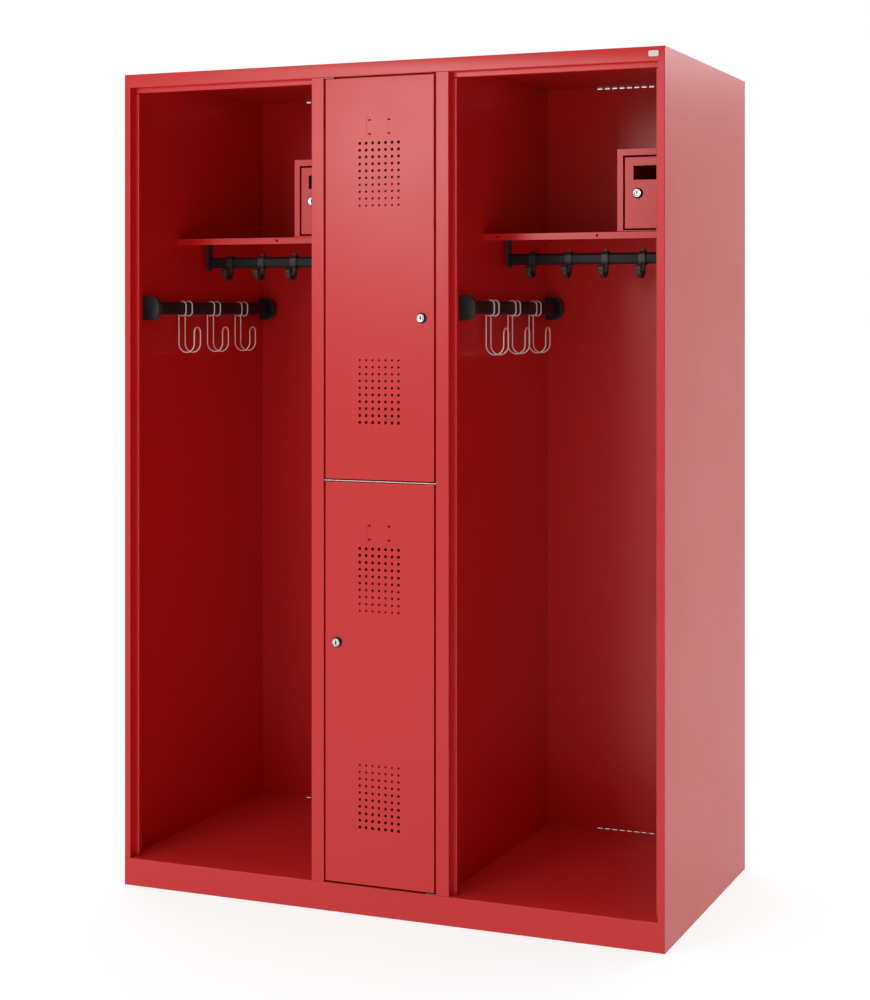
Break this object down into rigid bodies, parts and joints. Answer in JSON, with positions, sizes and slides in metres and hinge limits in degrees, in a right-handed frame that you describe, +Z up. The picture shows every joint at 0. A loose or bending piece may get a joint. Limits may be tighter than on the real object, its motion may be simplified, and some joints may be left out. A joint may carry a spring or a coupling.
{
  "type": "three column open locker",
  "caption": "Red steel locker: two open bays with hat shelf, lockable box, coat rail and side rail with hooks, and a centre column with perforated doors.",
  "frame": {"origin": "middle of the footprint on the floor", "axes": "+Z up, the open front faces -Y, +X to the right seen from the front"},
  "size_m": [1.3, 0.607, 1.85],
  "materials": {
    "red_paint": "smooth semi-gloss red powder coat on steel sheet",
    "zinc": "dull zinc plating",
    "bright_steel": "bare bright steel strip",
    "lock_chrome": "polished lock plug with a dark keyway",
    "chrome_wire": "bright plated bent wire",
    "lock_black": "black moulded lock rim",
    "black_plastic": "black moulded plastic, fine texture",
    "black_rail": "satin black powder coat on oval tube",
    "badge": "blank pale plate"
  },
  "bodies": {
    "carcass": {"left_side_panel": "red_paint", "right_side_panel": "red_paint", "top_panel": "red_paint", "back_panel": "red_paint", "plinth": "red_paint", "floor_panel": "red_paint", "left_divider": "red_paint", "right_divider": "red_paint", "left_post": "red_paint", "right_post": "red_paint", "centre_shelf": "red_paint", "middle_bar": "bright_steel", "badge_plate": "badge", "upper_door_top_pivot": "zinc", "upper_door_bottom_pivot": "zinc", "lower_door_top_pivot": "zinc", "lower_door_bottom_pivot": "zinc", "left_bay_hat_shelf": "red_paint", "left_bay_safe_box": "red_paint", "left_bay_coat_rail": "black_rail", "left_bay_coat_rail_left_bracket": "black_plastic", "left_bay_coat_rail_right_bracket": "black_plastic", "left_bay_side_rail": "black_rail", "left_bay_side_rail_front_cap": "black_plastic", "left_bay_side_rail_rear_cap": "black_plastic", "right_bay_hat_shelf": "red_paint", "right_bay_safe_box": "red_paint", "right_bay_coat_rail": "black_rail", "right_bay_coat_rail_left_bracket": "black_plastic", "right_bay_coat_rail_right_bracket": "black_plastic", "right_bay_side_rail": "black_rail", "right_bay_side_rail_front_cap": "black_plastic", "right_bay_side_rail_rear_cap": "black_plastic"},
    "upper_door": {"upper_door": "red_paint", "upper_door_lock_case": "lock_black"},
    "upper_door_lock": {"upper_door_lock_plug": "lock_chrome"},
    "lower_door": {"lower_door": "red_paint", "lower_door_lock_case": "lock_black"},
    "lower_door_lock": {"lower_door_lock_plug": "lock_chrome"},
    "left_bay_safe_door": {"left_bay_safe_door": "red_paint", "left_bay_safe_lock_case": "lock_black"},
    "left_bay_safe_lock": {"left_bay_safe_lock_plug": "lock_chrome"},
    "left_bay_coat_hook_1": {"left_bay_coat_hook_1": "black_plastic"},
    "left_bay_coat_hook_2": {"left_bay_coat_hook_2": "black_plastic"},
    "left_bay_coat_hook_3": {"left_bay_coat_hook_3": "black_plastic"},
    "left_bay_coat_hook_4": {"left_bay_coat_hook_4": "black_plastic"},
    "left_bay_wire_hook_1": {"left_bay_wire_hook_1": "chrome_wire"},
    "left_bay_wire_hook_2": {"left_bay_wire_hook_2": "chrome_wire"},
    "left_bay_wire_hook_3": {"left_bay_wire_hook_3": "chrome_wire"},
    "right_bay_safe_door": {"right_bay_safe_door": "red_paint", "right_bay_safe_lock_case": "lock_black"},
    "right_bay_safe_lock": {"right_bay_safe_lock_plug": "lock_chrome"},
    "right_bay_coat_hook_1": {"right_bay_coat_hook_1": "black_plastic"},
    "right_bay_coat_hook_2": {"right_bay_coat_hook_2": "black_plastic"},
    "right_bay_coat_hook_3": {"right_bay_coat_hook_3": "black_plastic"},
    "right_bay_coat_hook_4": {"right_bay_coat_hook_4": "black_plastic"},
    "right_bay_wire_hook_1": {"right_bay_wire_hook_1": "chrome_wire"},
    "right_bay_wire_hook_2": {"right_bay_wire_hook_2": "chrome_wire"},
    "right_bay_wire_hook_3": {"right_bay_wire_hook_3": "chrome_wire"}
  },
  "joints": [
    {"name": "upper_door_hinge", "type": "hinge", "parent": "carcass", "child": "upper_door", "pos_m": [-0.1251, -0.294, 0.9], "axis": [0, 0, -1], "range_deg": [0, 110]},
    {"name": "upper_door_lock_turn", "type": "hinge", "parent": "upper_door", "child": "upper_door_lock", "pos_m": [0.1019, -0.3, 1.2945], "axis": [0, -1, 0], "range_deg": [0, 90]},
    {"name": "lower_door_hinge", "type": "hinge", "parent": "carcass", "child": "lower_door", "pos_m": [0.1251, -0.294, 0.9], "axis": [0, 0, 1], "range_deg": [0, 110]},
    {"name": "lower_door_lock_turn", "type": "hinge", "parent": "lower_door", "child": "lower_door_lock", "pos_m": [-0.1019, -0.3, 0.5885], "axis": [0, -1, 0], "range_deg": [-90, 0]},
    {"name": "left_bay_safe_door_hinge", "type": "hinge", "parent": "carcass", "child": "left_bay_safe_door", "pos_m": [-0.1736, -0.09, 1.566], "axis": [0, 0, 1], "range_deg": [0, 90]},
    {"name": "left_bay_safe_lock_turn", "type": "hinge", "parent": "left_bay_safe_door", "child": "left_bay_safe_lock", "pos_m": [-0.2795, -0.094, 1.5655], "axis": [0, -1, 0], "range_deg": [-90, 0]},
    {"name": "left_bay_coat_hook_1_slide", "type": "slide", "parent": "carcass", "child": "left_bay_coat_hook_1", "axis": [1, 0, 0], "range_m": [-0.045, 0.034]},
    {"name": "left_bay_coat_hook_2_slide", "type": "slide", "parent": "carcass", "child": "left_bay_coat_hook_2", "axis": [1, 0, 0], "range_m": [-0.034, 0.034]},
    {"name": "left_bay_coat_hook_3_slide", "type": "slide", "parent": "carcass", "child": "left_bay_coat_hook_3", "axis": [1, 0, 0], "range_m": [-0.034, 0.034]},
    {"name": "left_bay_coat_hook_4_slide", "type": "slide", "parent": "carcass", "child": "left_bay_coat_hook_4", "axis": [1, 0, 0], "range_m": [-0.034, 0.13]},
    {"name": "left_bay_wire_hook_1_slide", "type": "slide", "parent": "carcass", "child": "left_bay_wire_hook_1", "axis": [0, 1, 0], "range_m": [-0.09, 0.045]},
    {"name": "left_bay_wire_hook_2_slide", "type": "slide", "parent": "carcass", "child": "left_bay_wire_hook_2", "axis": [0, 1, 0], "range_m": [-0.045, 0.045]},
    {"name": "left_bay_wire_hook_3_slide", "type": "slide", "parent": "carcass", "child": "left_bay_wire_hook_3", "axis": [0, 1, 0], "range_m": [-0.045, 0.09]},
    {"name": "right_bay_safe_door_hinge", "type": "hinge", "parent": "carcass", "child": "right_bay_safe_door", "pos_m": [0.6262, -0.09, 1.566], "axis": [0, 0, 1], "range_deg": [0, 90]},
    {"name": "right_bay_safe_lock_turn", "type": "hinge", "parent": "right_bay_safe_door", "child": "right_bay_safe_lock", "pos_m": [0.5203, -0.094, 1.5655], "axis": [0, -1, 0], "range_deg": [-90, 0]},
    {"name": "right_bay_coat_hook_1_slide", "type": "slide", "parent": "carcass", "child": "right_bay_coat_hook_1", "axis": [1, 0, 0], "range_m": [-0.045, 0.034]},
    {"name": "right_bay_coat_hook_2_slide", "type": "slide", "parent": "carcass", "child": "right_bay_coat_hook_2", "axis": [1, 0, 0], "range_m": [-0.034, 0.034]},
    {"name": "right_bay_coat_hook_3_slide", "type": "slide", "parent": "carcass", "child": "right_bay_coat_hook_3", "axis": [1, 0, 0], "range_m": [-0.034, 0.034]},
    {"name": "right_bay_coat_hook_4_slide", "type": "slide", "parent": "carcass", "child": "right_bay_coat_hook_4", "axis": [1, 0, 0], "range_m": [-0.034, 0.13]},
    {"name": "right_bay_wire_hook_1_slide", "type": "slide", "parent": "carcass", "child": "right_bay_wire_hook_1", "axis": [0, 1, 0], "range_m": [-0.09, 0.045]},
    {"name": "right_bay_wire_hook_2_slide", "type": "slide", "parent": "carcass", "child": "right_bay_wire_hook_2", "axis": [0, 1, 0], "range_m": [-0.045, 0.045]},
    {"name": "right_bay_wire_hook_3_slide", "type": "slide", "parent": "carcass", "child": "right_bay_wire_hook_3", "axis": [0, 1, 0], "range_m": [-0.045, 0.09]}
  ]
}
